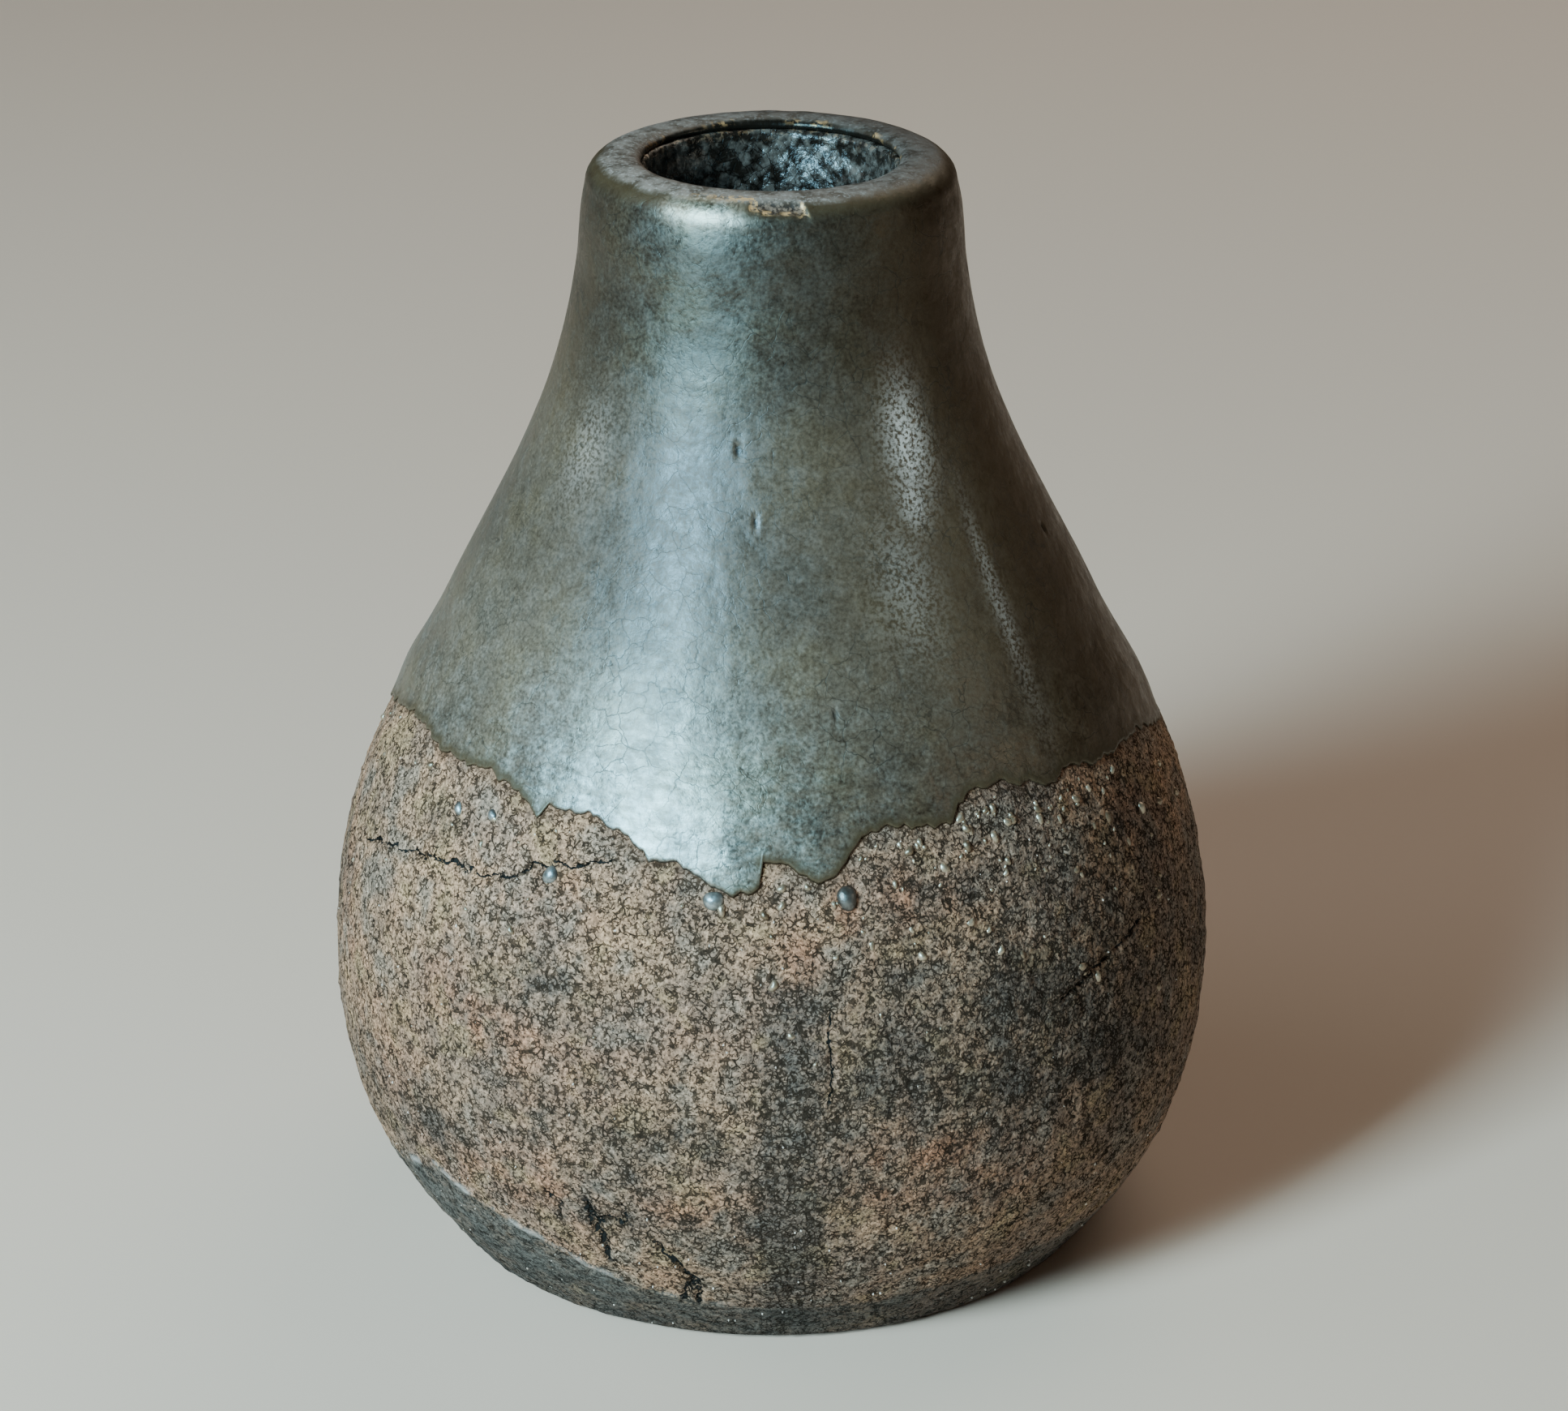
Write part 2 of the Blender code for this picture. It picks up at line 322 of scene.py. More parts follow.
def distance_to_edge(along):
    """Shortest distance over the surface to the glaze's edge, at rows by columns of points. It is right only
    within SEARCH columns of the edge."""
    step = EDGE_RADIUS * math.tau / COLUMNS
    nearest = np.full(np.broadcast(along, edge_along).shape, 1.0)
    for shift in range(-SEARCH, SEARCH + 1):
        away = np.hypot(np.roll(edge_along, shift) - along, shift * step)
        nearest = np.minimum(nearest, away)
    return nearest


def blobs(spots, azimuth, height):
    """Soft patches: the strongest of the spots at each point."""
    total = np.zeros(np.broadcast(azimuth, height).shape)
    for centre, middle, reach, rise, strength in spots:
        across = np.radians(degrees_from(centre, azimuth)) * EDGE_RADIUS / (reach * MM)
        upward = (height - middle * MM) / (rise * MM)
        total = np.maximum(total, strength * np.exp(-(across**2) - upward**2))
    return total


def crack_field(azimuth, height):
    """Signed distance to the nearest crack's line in half-widths, how near it is, and the groove's depth."""
    side = np.full(np.broadcast(azimuth, height).shape, 9.0)
    nearest = np.full(side.shape, 1.0)
    half = np.full(side.shape, 0.2 * MM)
    scale = math.radians(1) * EDGE_RADIUS
    for half_width, run in CRACKS:
        for (a0, h0), (a1, h1) in zip(run, run[1:]):
            x = degrees_from(a0, azimuth) * scale + 0 * height
            y = height - h0 * MM + 0 * azimuth
            dx, dy = (a1 - a0) * scale, (h1 - h0) * MM
            length = math.hypot(dx, dy)
            part = np.clip((x * dx + y * dy) / length**2, 0, 1)
            away = np.hypot(x - part * dx, y - part * dy)
            nearer = away < nearest
            nearest = np.where(nearer, away, nearest)
            side = np.where(nearer, (x * dy - y * dx) / length, side)
            half = np.where(nearer, half_width * MM, half)
    near = 1 - ease(nearest, half + 0.35 * MM, half + 0.9 * MM)
    return side / half, near, bell(nearest, 1.3 * half)


# ---- meshes


def linked(name, data):
    """A new object in the scene."""
    made = bpy.data.objects.new(name, data)
    bpy.context.scene.collection.objects.link(made)
    return made


def mesh_piece(name, points, faces, places, material, values):
    """A smooth mesh object. places has a texture place for each corner of each face, and values are mesh
    attributes that the material reads."""
    mesh = bpy.data.meshes.new(name)
    mesh.from_pydata(points, [], faces)
    mesh.uv_layers.new(name="OFBake").data.foreach_set("uv", np.ravel(places))
    for key, array in values.items():
        mesh.attributes.new(key, "FLOAT", "POINT").data.foreach_set("value", array.astype(np.float32))
    mesh.materials.append(material)
    mesh.shade_smooth()
    mesh.update()
    return linked(name, mesh)


def skin(name, points, material, values, wrap=False):
    """A piece over rows by columns of points. Rows run along the outline. A row on the axis becomes one
    point, and wrap joins the last row to the first."""
    rows, columns = points.shape[:2]
    ids = np.arange(rows * columns).reshape(rows, columns)
    for end in (0, -1):
        if np.ptp(points[end], axis=0).max() < 1e-7:
            ids[end] = ids[end, 0]
    first = np.arange(rows if wrap else rows - 1)
    second = (first + 1) % rows
    following = np.roll(ids, -1, axis=1)
    quads = np.stack([ids[first], ids[second], following[second], following[first]], axis=-1).reshape(-1, 4)
    u, v = np.meshgrid(np.arange(columns) / columns, first / rows)
    u, v = u.reshape(-1, 1), v.reshape(-1, 1)
    width, rise = 1 / columns, 1 / rows
    corners = np.stack([u + np.array([0, 0, width, width]), 1 - v - np.array([0, rise, rise, 0])], axis=-1)
    kept, quads = np.unique(quads, return_inverse=True)
    quads = quads.reshape(-1, 4)
    faces, places = [], []
    for quad, corner in zip(quads.tolist(), corners.tolist()):
        whole = [k for k in range(4) if quad[k] != quad[k - 1]]
        faces.append([quad[k] for k in whole])
        places.extend(corner[k] for k in whole)
    values = {key: np.broadcast_to(v, (rows, columns)).reshape(-1)[kept] for key, v in values.items()}
    return mesh_piece(name, points.reshape(-1, 3)[kept].tolist(), faces, places, material, values)


def spaced(start, end, step):
    """Lengths from start up to, but not including, end."""
    count = max(int(round((end - start) / step)), 1)
    return start + (end - start) * np.arange(count) / count


# ---- materials


class Recipe:
    """Builds a material's node tree. Each method adds a node and returns its output."""

    def __init__(self, name):
        self.material = bpy.data.materials.new(name)
        self.material.use_nodes = True
        self.tree = self.material.node_tree
        self.shader = self.tree.nodes["Principled BSDF"]
        self.place = self.tree.nodes.new("ShaderNodeTexCoord").outputs["Object"]

    def feed(self, socket, source):
        if isinstance(source, bpy.types.NodeSocket):
            self.tree.links.new(source, socket)
        elif isinstance(source, tuple) and len(source) == 3 and socket.type == "RGBA":
            socket.default_value = (*source, 1)
        else:
            socket.default_value = source

    def node(self, kind, inputs=None, **settings):
        made = self.tree.nodes.new(kind)
        for key, value in settings.items():
            setattr(made, key, value)
        for key, value in (inputs or {}).items():
            self.feed(made.inputs[key], value)
        return made

    def math(self, operation, a, b=0.0, clamp=False):
        return self.node("ShaderNodeMath", {0: a, 1: b}, operation=operation, use_clamp=clamp).outputs[0]

    def plus(self, a, b, clamp=False):
        return self.math("ADD", a, b, clamp)

    def minus(self, a, b):
        return self.math("SUBTRACT", a, b)

    def times(self, a, b, clamp=False):
        return self.math("MULTIPLY", a, b, clamp)

    def larger(self, a, b):
        return self.math("MAXIMUM", a, b)

    def span(self, value, low, high, to_low=0.0, to_high=1.0, smooth=True):
        """value from low to high, mapped to to_low to to_high and held there."""
        inputs = {"Value": value, "From Min": low, "From Max": high, "To Min": to_low, "To Max": to_high}
        kind = "SMOOTHSTEP" if smooth else "LINEAR"
        return self.node("ShaderNodeMapRange", inputs, interpolation_type=kind).outputs["Result"]

    def mix(self, amount, a, b, blend="MIX"):
        """Mixes two colours."""
        made = self.node("ShaderNodeMix", data_type="RGBA", blend_type=blend)
        self.feed(made.inputs[0], amount)
        self.feed(made.inputs[6], a)
        self.feed(made.inputs[7], b)
        return made.outputs[2]

    def shaded(self, colour, factor):
        """A colour made lighter or darker by a factor."""
        grey = self.node("ShaderNodeCombineColor", {0: factor, 1: factor, 2: factor}).outputs[0]
        return self.mix(1.0, colour, grey, blend="MULTIPLY")

    def height(self):
        """Height above the ground in metres."""
        return self.node("ShaderNodeSeparateXYZ", {0: self.place}).outputs["Z"]

    def noise(self, size, detail=3.0, roughness=0.5, at=None):
        """Noise whose features are about size metres across."""
        inputs = {"Vector": at or self.place, "Scale": 1 / size, "Detail": detail, "Roughness": roughness}
        return self.node("ShaderNodeTexNoise", inputs).outputs["Fac"]

    def cells(self, size, feature, at=None):
        """A distance that a Voronoi texture gives, for cells of a size in metres."""
        inputs = {"Vector": at or self.place, "Scale": 1 / size}
        return self.node("ShaderNodeTexVoronoi", inputs, feature=feature).outputs["Distance"]

    def net(self, size, wander_size, reach):
        """Distance to the nearest of a net of lines, whose edges wander by reach."""
        return self.cells(size, "DISTANCE_TO_EDGE", at=self.shaken(wander_size, reach))

    def vector(self, operation, inputs):
        return self.node("ShaderNodeVectorMath", inputs, operation=operation).outputs[0]

    def stretched(self, across):
        """The place, with features wider than high by a factor."""
        return self.vector("MULTIPLY", {0: self.place, 1: (1, 1, across)})

    def crevices(self, size, openness, half_width):
        """1 in broken, curling lines round granules of a size, where openness is high. half_width is in
        sizes."""
        edge = self.net(size, size, 0.8 * size)
        width = self.span(openness, 0.47, 0.64, 0.0, half_width, smooth=False)
        return self.span(self.minus(width, edge), 0.0, 0.06)

    def shaken(self, size, reach):
        """The place moved about by noise, to make straight cell edges wander."""
        inputs = {"Vector": self.place, "Scale": 1 / size, "Detail": 2.0}
        colour = self.node("ShaderNodeTexNoise", inputs).outputs["Color"]
        centred = self.vector("SUBTRACT", {0: colour, 1: (0.5, 0.5, 0.5)})
        moved = self.vector("SCALE", {0: centred, "Scale": reach})
        return self.vector("ADD", {0: moved, 1: self.place})

    def value(self, name):
        return self.node("ShaderNodeAttribute", attribute_name=name).outputs["Fac"]

    def bump(self, height, depth, normal=None):
        """A bump whose height from 0 to 1 stands for depth metres."""
        inputs = {"Height": height, "Distance": depth, "Strength": 1.0}
        if normal:
            inputs["Normal"] = normal
        return self.node("ShaderNodeBump", inputs).outputs["Normal"]

    def finish(self, **inputs):
        for key, value in inputs.items():
            self.feed(self.shader.inputs[key.replace("_", " ")], value)
        return self.material


# Linear colours of the clay
CLAY = dict(
    tan=(0.288, 0.181, 0.115),
    umber=(0.198, 0.134, 0.098),
    ash=(0.194, 0.160, 0.128),
    ochre=(0.254, 0.175, 0.098),
    rust=(0.312, 0.148, 0.084),
    smoke_and_shade=(0.058, 0.054, 0.050),
    crevice=(0.016, 0.013, 0.010),
    dark_foot=(0.026, 0.026, 0.023),
    pale_foot=(0.086, 0.086, 0.079),
    foot_crevice=(0.010, 0.009, 0.008),
    ridge_and_highlight=(0.300, 0.300, 0.290),
    painted_lip_shadow=(0.075, 0.045, 0.028),
    crack=(0.006, 0.006, 0.005),
)


def clay_material():
    """Bare stoneware: tan granules, dark crevices, rust and ash patches, blue-black smoky stains and painted
    shade.
    """
    r = Recipe("bare_clay")
    smoke_and_shade, rust, foot = r.value("smoke_and_shade"), r.value("rust"), r.value("foot")
    broad = r.noise(0.014, detail=3)
    middle = r.noise(0.0045, detail=4)
    ash = r.noise(0.0062, detail=4)
    granule = r.noise(0.00085, detail=3, roughness=0.6)
    grain = r.noise(0.00042, detail=2, roughness=0.6)

    # Patches of tan, ash grey, ochre and rust
    colour = r.mix(r.span(broad, 0.36, 0.66), CLAY["tan"], CLAY["umber"])
    colour = r.mix(r.span(ash, 0.50, 0.64, 0, 0.7), colour, CLAY["ash"])
    colour = r.mix(r.span(ash, 0.46, 0.34, 0, 0.8), colour, CLAY["ochre"])
    rust_here = r.times(rust, r.span(middle, 0.34, 0.58), clamp=True)
    colour = r.mix(rust_here, colour, CLAY["rust"])

    # Smoky stains and painted shade grey the granules and open the crevices between them
    clump = r.noise(0.0026, detail=3, roughness=0.6)
    smoke_and_shade = r.plus(smoke_and_shade, r.span(clump, 0.30, 0.70, -0.35, 0.35, smooth=False), clamp=True)
    colour = r.mix(r.times(smoke_and_shade, 0.80), colour, CLAY["smoke_and_shade"])
    colour = r.shaded(colour, r.span(grain, 0.28, 0.72, 0.18, 1.90, smooth=False))
    colour = r.shaded(colour, r.span(granule, 0.32, 0.68, 0.70, 1.26, smooth=False))
    # Painted shade: darker below 45 mm and lighter above 62 mm
    colour = r.shaded(colour, r.span(r.height(), 0.045, 0.062, 0.94, 1.06))

    # Crevices run between the granules, open in some stretches and closed in others
    opened = r.times(smoke_and_shade, 0.06)
    wide = r.crevices(0.00105, r.plus(r.noise(0.0014, detail=2), opened), 0.115)
    fine = r.crevices(0.00060, r.plus(r.noise(0.0009, detail=2), opened), 0.19)
    hollow = r.span(r.noise(0.00036, detail=1), r.plus(0.375, r.times(smoke_and_shade, 0.04)), 0.30)
    dark = r.larger(r.larger(wide, r.times(fine, 0.9)), r.times(hollow, 0.9))
    # The crevices' near-black is partly painted shade in the recesses
    colour = r.mix(r.times(dark, 0.93), colour, CLAY["crevice"])

    # The trimmed foot is greyer
    smear = r.noise(0.0020, detail=4, roughness=0.7, at=r.stretched(2.4))
    foot_colour = r.mix(r.span(smear, 0.36, 0.62), CLAY["dark_foot"], CLAY["pale_foot"])
    foot_colour = r.shaded(foot_colour, r.span(grain, 0.3, 0.7, 0.6, 1.4, smooth=False))
    foot_colour = r.shaded(foot_colour, r.span(r.height(), 0.0, 0.012, 0.62, 1.05))
    foot_colour = r.mix(r.times(dark, 0.55), foot_colour, CLAY["foot_crevice"])
    colour = r.mix(r.times(foot, r.span(middle, 0.30, 0.60, 0.70, 0.95)), colour, foot_colour)
    # A pale line on the foot's upper edge, partly painted highlight, strongest at the front left
    ridge_and_highlight = r.times(r.value("ridge_and_highlight"), r.span(middle, 0.44, 0.54))
    colour = r.mix(ridge_and_highlight, colour, CLAY["ridge_and_highlight"])

    # Painted shadow: a dark fringe on the clay just under the glaze's edge
    fringe = r.times(r.value("fringe"), r.span(middle, 0.3, 0.6, 0.3, 0.9))
    colour = r.mix(fringe, colour, CLAY["painted_lip_shadow"])

    # Cracks keep a crisp edge, because their signed distance passes through zero
    wander = r.span(r.noise(0.0009, detail=3), 0.3, 0.7, -2.4, 2.4, smooth=False)
    across = r.math("ABSOLUTE", r.plus(r.value("crack_side"), wander))
    crack = r.times(r.span(across, 1.2, 0.8), r.value("crack_near"))
    crack = r.times(crack, r.span(r.noise(0.0015, detail=2), 0.34, 0.42))
    colour = r.mix(crack, colour, CLAY["crack"])

    height = r.plus(r.times(dark, -0.25), granule)
    height = r.plus(height, r.times(grain, 0.50))
    height = r.minus(height, crack)
    normal = r.bump(height, r.span(foot, 0, 1, 0.00026, 0.00022))
    gloss = r.span(dark, 0, 1, 0.18, 0.0)
    return r.finish(Base_Color=colour, Roughness=0.80, Normal=normal, Specular_IOR_Level=gloss)


# Linear colours of the outer glaze
GLAZE = dict(
    umber=(0.136, 0.116, 0.088),
    taupe=(0.168, 0.146, 0.112),
    olive=(0.160, 0.130, 0.080),
    grey=(0.126, 0.126, 0.110),
    pale_mottle=(0.228, 0.208, 0.180),
    dark_mottle=(0.085, 0.073, 0.055),
    pooled=(0.116, 0.124, 0.121),
    # painted shade: the glaze's dark brown on its right side and on the neck's left
    warm=(0.070, 0.046, 0.022),
    bloom_and_highlight=(0.560, 0.550, 0.530),
    crackle=(0.022, 0.022, 0.018),
    thin=(0.060, 0.046, 0.025),
    dark_rim=(0.044, 0.037, 0.030),
    pale_rim=(0.120, 0.108, 0.097),
    rim_speck=(0.240, 0.240, 0.235),
    throat=(0.016, 0.015, 0.012),
    dark_break=(0.016, 0.011, 0.008),
    pale_break=(0.150, 0.115, 0.088),
    # golden brown of broken glaze, and painted glints
    gold_and_glint=(0.78, 0.50, 0.24),
    hole=(0.005, 0.005, 0.004),
)


def outer_glaze_material():
    """A satin gunmetal glaze: mottled, finely crackled, olive-brown where thin, mauve-grey on the rim."""
    r = Recipe("outer_glaze")
    thin, rim, chip = r.value("thin"), r.value("rim"), r.value("chip")
    cloud = r.noise(0.016, detail=4, roughness=0.55)
    mottle = r.noise(0.0022, detail=4, roughness=0.6)
    grain = r.noise(0.00045, detail=3, roughness=0.6)

    # Broad clouds, olive and grey patches, and a finer mottle
    tint = r.noise(0.0080, detail=3)
    colour = r.mix(r.span(cloud, 0.34, 0.66), GLAZE["umber"], GLAZE["taupe"])
    colour = r.mix(r.span(tint, 0.50, 0.66, 0, 0.5), colour, GLAZE["olive"])
    colour = r.mix(r.span(tint, 0.50, 0.34, 0, 0.4), colour, GLAZE["grey"])
    colour = r.mix(r.times(r.span(mottle, 0.48, 0.68), 0.28), colour, GLAZE["pale_mottle"])
    colour = r.mix(r.times(r.span(mottle, 0.50, 0.34), 0.30), colour, GLAZE["dark_mottle"])

    # The glaze ran down: it pooled to a bluish metal in its lowest part, in streaks, and is darker above
    height = r.height()
    streaks = r.noise(0.0024, detail=4, roughness=0.65, at=r.stretched(2.6))
    streaked = r.span(streaks, 0.36, 0.62, 0.72, 1.22, smooth=False)
    pooled = r.times(r.span(height, 0.068, 0.100, 1, 0), streaked)
    # The pooled tint is strongest towards the window light, a painted cool reflection
    colour = r.mix(r.times(pooled, r.value("painted_cool_reflection")), colour, GLAZE["pooled"])
    streak_tone = r.times(pooled, r.span(streaks, 0.40, 0.60, -0.22, 0.22, smooth=False))
    colour = r.shaded(colour, r.plus(1.0, streak_tone))
    tone = r.times(r.span(height, 0.066, 0.098, 1.50, 0.42), r.span(height, 0.108, 0.124, 1, 0.86))
    colour = r.shaded(colour, r.times(tone, r.span(grain, 0.3, 0.7, 0.62, 1.38, smooth=False)))
    # Painted shade: darker and browner on the right side, and on the neck's left side
    colour = r.mix(r.times(r.value("warm"), 0.75), colour, GLAZE["warm"])
    # Pale blooms, the ones round 36 degrees partly a painted highlight of the side light
    bloom_and_highlight = r.times(r.value("bloom_and_highlight"), r.span(grain, 0.38, 0.60))
    colour = r.mix(bloom_and_highlight, colour, GLAZE["bloom_and_highlight"])
    # Painted highlight: the window's reflection on the rim's outer curve, up to nine times brighter
    colour = r.shaded(colour, r.plus(1.0, r.times(r.value("painted_window_highlight"), 8.0)))

    # Crackle: a fine net of dark lines, with a finer one in places
    line = r.span(r.net(0.0034, 0.0022, 0.0022), 0.026, 0.006)
    line = r.times(line, r.span(r.noise(0.007), 0.36, 0.62, 0.05, 0.70))
    small_line = r.span(r.net(0.0013, 0.001, 0.0008), 0.075, 0.02)
    small_line = r.times(small_line, r.span(r.noise(0.009), 0.45, 0.65, 0, 0.35))
    crackle = r.larger(line, small_line)
    colour = r.mix(r.times(crackle, 0.80), colour, GLAZE["crackle"])

    # Thin glaze breaks to olive-brown
    thin_here = r.plus(thin, r.span(mottle, 0.3, 0.7, -0.18, 0.18, smooth=False))
    colour = r.mix(r.span(thin_here, 0.15, 0.80, 0, 0.92), colour, GLAZE["thin"])

    # The rim's flat top, the dark glaze that turns in from it, and the chip, painted glints and pinholes
    rim_colour = r.mix(r.span(mottle, 0.38, 0.60), GLAZE["dark_rim"], GLAZE["pale_rim"])
    rim_colour = r.mix(r.span(grain, 0.50, 0.66, 0, 0.5), rim_colour, GLAZE["rim_speck"])
    # Painted light and shade: the rim's top lighter towards the front left, darker towards the back right
    rim_colour = r.shaded(rim_colour, r.value("painted_rim_light_and_shade"))
    colour = r.mix(rim, colour, rim_colour)
    inner = r.value("inner")
    colour = r.mix(inner, colour, GLAZE["throat"])

    broken = r.mix(r.span(grain, 0.40, 0.62), GLAZE["dark_break"], GLAZE["pale_break"])
    colour = r.mix(chip, colour, broken)
    # Golden brown broken glaze and painted glints, in specks
    gold_and_glint = r.times(r.value("gold_and_glint"), r.span(r.noise(0.0007, detail=3), 0.46, 0.56))
    colour = r.mix(gold_and_glint, colour, GLAZE["gold_and_glint"])
    hole = r.value("hole")
    colour = r.mix(hole, colour, GLAZE["hole"])

    # Metallic where it pooled and at the neck, and rough where it is bare
    metal = r.larger(r.times(pooled, 0.80), r.span(height, 0.108, 0.126, 0.0, 0.66))
    metal = r.times(metal, r.span(thin, 0.2, 0.9, 1, 0.5))
    # Fully metallic where the window's highlight is painted
    metal = r.larger(metal, r.value("painted_window_highlight"))
    bare = r.larger(r.larger(chip, hole), rim)
    metal = r.times(metal, r.span(bare, 0, 1, 1, 0))
    metal = r.times(metal, r.span(bloom_and_highlight, 0, 1, 1, 0.35))
    metal = r.larger(metal, r.times(gold_and_glint, 0.7))
    roughness = r.span(mottle, 0.32, 0.68, 0.34, 0.52, smooth=False)
    roughness = r.plus(roughness, r.span(grain, 0.3, 0.7, -0.09, 0.09, smooth=False))
    roughness = r.plus(roughness, r.times(rim, 0.14))
    roughness = r.minus(r.plus(roughness, r.times(chip, 0.15)), r.times(inner, 0.18))
    normal = r.bump(crackle, -0.000015)
    normal = r.bump(grain, 0.00002, normal)
    normal = r.bump(mottle, 0.00010, normal)
    normal = r.bump(cloud, 0.00080, normal)
    r.finish(Base_Color=colour, Roughness=roughness, Metallic=metal)
    return r.finish(Normal=normal, Specular_IOR_Level=0.36)


def liner_material():
    """A black glossy liner, crazed and a little pitted."""
    r = Recipe("liner_glaze")
    mottle = r.noise(0.0016, detail=4, roughness=0.6)
    colour = r.mix(r.span(mottle, 0.40, 0.66), (0.012, 0.011, 0.009), (0.110, 0.114, 0.108))
    line = r.span(r.net(0.0014, 0.0012, 0.0010), 0.045, 0.012)
    line = r.times(line, r.span(r.noise(0.004), 0.40, 0.60, 0.1, 1))
    colour = r.mix(r.times(line, 0.7), colour, (0.005, 0.005, 0.004))
    # Gold-brown specks along the liner's top edge, partly painted glints
    lip = r.times(r.value("lip"), r.span(r.noise(0.0008, detail=3), 0.54, 0.62))
    colour = r.mix(r.times(lip, 0.7), colour, (0.30, 0.20, 0.11))
    roughness = r.span(mottle, 0.3, 0.7, 0.16, 0.30, smooth=False)
    normal = r.bump(line, -0.00012)
    normal = r.bump(r.cells(0.0011, "SMOOTH_F1"), 0.00022, normal)
    normal = r.bump(mottle, 0.00030, normal)
    return r.finish(Base_Color=colour, Roughness=roughness, Normal=normal, Metallic=0.35)


def bead_material():
    """Pooled glaze: glossy blue-grey, browner where it is thin at its foot."""
    r = Recipe("glaze_beads")
    mottle = r.span(r.noise(0.0011, detail=2), 0.38, 0.62)
    pooled = r.mix(mottle, (0.150, 0.160, 0.156), (0.320, 0.345, 0.340))
    colour = r.mix(r.value("brown"), pooled, (0.060, 0.044, 0.032))
    normal = r.bump(r.noise(0.0006, detail=2), 0.00005)
    return r.finish(Base_Color=colour, Roughness=0.36, Metallic=0.80, Normal=normal)


def bump_material(name, dark, pale, roughness, metallic=0.0):
    """The clay's raised spots and grains, each with its own shade."""
    r = Recipe(name)
    colour = r.mix(r.value("shade"), dark, pale)
    speckle = r.span(r.noise(0.0004, detail=3), 0.35, 0.65, 0, 0.35)
    colour = r.mix(speckle, colour, tuple(part * 0.45 for part in dark))
    normal = r.bump(r.noise(0.0003), 0.00004)
    return r.finish(Base_Color=colour, Roughness=roughness, Metallic=metallic, Normal=normal)


# ---- pieces


def grid(*stretches, columns=COLUMNS):
    """Lengths along the outline, one stretch after another, as rows by columns."""
    return np.concatenate(stretches)[:, None] * np.ones(columns)


def rounded(away, reach):
    """0 at an edge, rising as a quarter circle does to 1 at reach from it."""
    return np.sqrt(1 - (1 - np.clip(away / reach, 0, 1)) ** 2)


def make_clay():
    """The clay body, closed: floor, inner wall, rim and the carved outer surface down to the flat foot."""
    covered = outline.along_at(79 * MM)  # above this the clay stays under the glaze
    foot_edge = outline.along_at(0.6 * MM)
    along = grid(
        spaced(0, outline.lip, 6 * MM),
        spaced(outline.lip, outline.shoulder, 2 * MM),
        spaced(outline.shoulder, covered, 4 * MM),
        spaced(covered, foot_edge, 0.52 * MM),
        spaced(foot_edge, outline.length, 9 * MM),
        [outline.length],
    )
    height = outline.at(along)[1]
    base = place_points(along, 0)

    from_edge = distance_to_edge(along) * np.sign(along - edge_along)
    bare = ease(from_edge, 0.05 * MM, 0.6 * MM) * (along > covered) * ease(height, 0.0, 0.4 * MM)
    foot_edge_height = level_at(FOOT_EDGE, azimuths) + 0.5 * MM * layered(base, 3 * MM, 33, 2)
    plain = 0.75 + 0.25 * ridge_strength(azimuths)
    foot = plain * (1 - ease(height, foot_edge_height - 0.7 * MM, foot_edge_height + 0.2 * MM))
    rough = bare * (1 - 0.25 * foot)

    # One cell in about 20 is a pit, and one in 10 a low swelling
    crack_side, crack_near, groove = crack_field(azimuths, height)
    from_seed, number = cells(base, 1.9 * MM, 31)
    pit = (number > 0.955) * ease(0.55 - from_seed, 0, 0.4)
    swell = (number < 0.10) * ease(0.5 - from_seed, 0, 0.45)
    moved = base + 0.2 * MM * noise(base, 0.9 * MM, 41)[..., None]
    grain, grain_number = cells(moved, 1.05 * MM, 32)
    lift = (
        bare * 0.22 * MM * layered(base, 26 * MM, 21, 2)
        + rough * 0.16 * MM * layered(base, 3.4 * MM, 22, 2)
        + rough * 0.15 * MM * layered(base, 1.3 * MM, 23, 2)
        + rough * 0.13 * MM * (0.55 - grain) * (0.4 + grain_number)
        - rough * 0.34 * MM * pit
        + rough * 0.16 * MM * swell
        - bare * CRACK_DEPTH * groove
    )
    ridge_and_highlight = bell(height - foot_edge_height, 0.45 * MM) * ridge_strength(azimuths) ** 3
    under_glaze = (1 - bare) * (along > outline.shoulder) * (height > 20 * MM)
    lift = lift + bare * 0.16 * MM * ridge_and_highlight - 0.10 * MM * under_glaze

    streak = bell(degrees_from(2.6, azimuths), 4.4, 4) * (1 - ease(height, 50 * MM, 60 * MM))
    # Painted shade, added to the smoky stains: darker towards the bottom, and on the right side above about
    # 34 mm
    low = 1 - ease(height, 12 * MM, 45 * MM)
    right = ease(azimuths, 2, 12) * (1 - ease(azimuths, 60, 90)) * ease(height, 28 * MM, 40 * MM)
    smoke_and_shade = blobs(SMOKE_AND_SHADE, azimuths, height) * (0.65 + 0.7 * layered(base, 7 * MM, 51))
    smoke_and_shade = smoke_and_shade + 0.30 * ease(layered(base, 9 * MM, 52), 0.05, 0.6)
    smoke_and_shade = smoke_and_shade + 0.62 * streak + 0.10 * low + 0.22 * right
    rust = blobs(RUST, azimuths, height) * (0.7 + 0.7 * layered(base, 6 * MM, 53))
    rust = rust + 0.45 * ease(layered(base, 13 * MM, 54), 0.15, 0.6)
    values = {
        "smoke_and_shade": smoke_and_shade,
        "rust": rust,
        "foot": foot,
        "ridge_and_highlight": ridge_and_highlight,
        "fringe": 0.8 * bell(from_edge, 0.55 * MM, 1),
        "crack_side": np.clip(crack_side, -9, 9),
        "crack_near": crack_near,
    }
    points = place_points(along, lift)
    points[..., 2] = np.maximum(points[..., 2], 0)
    piece = skin("thrown_clay", points, clay_material(), values)
    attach(piece, "root")
    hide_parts("clay_body")


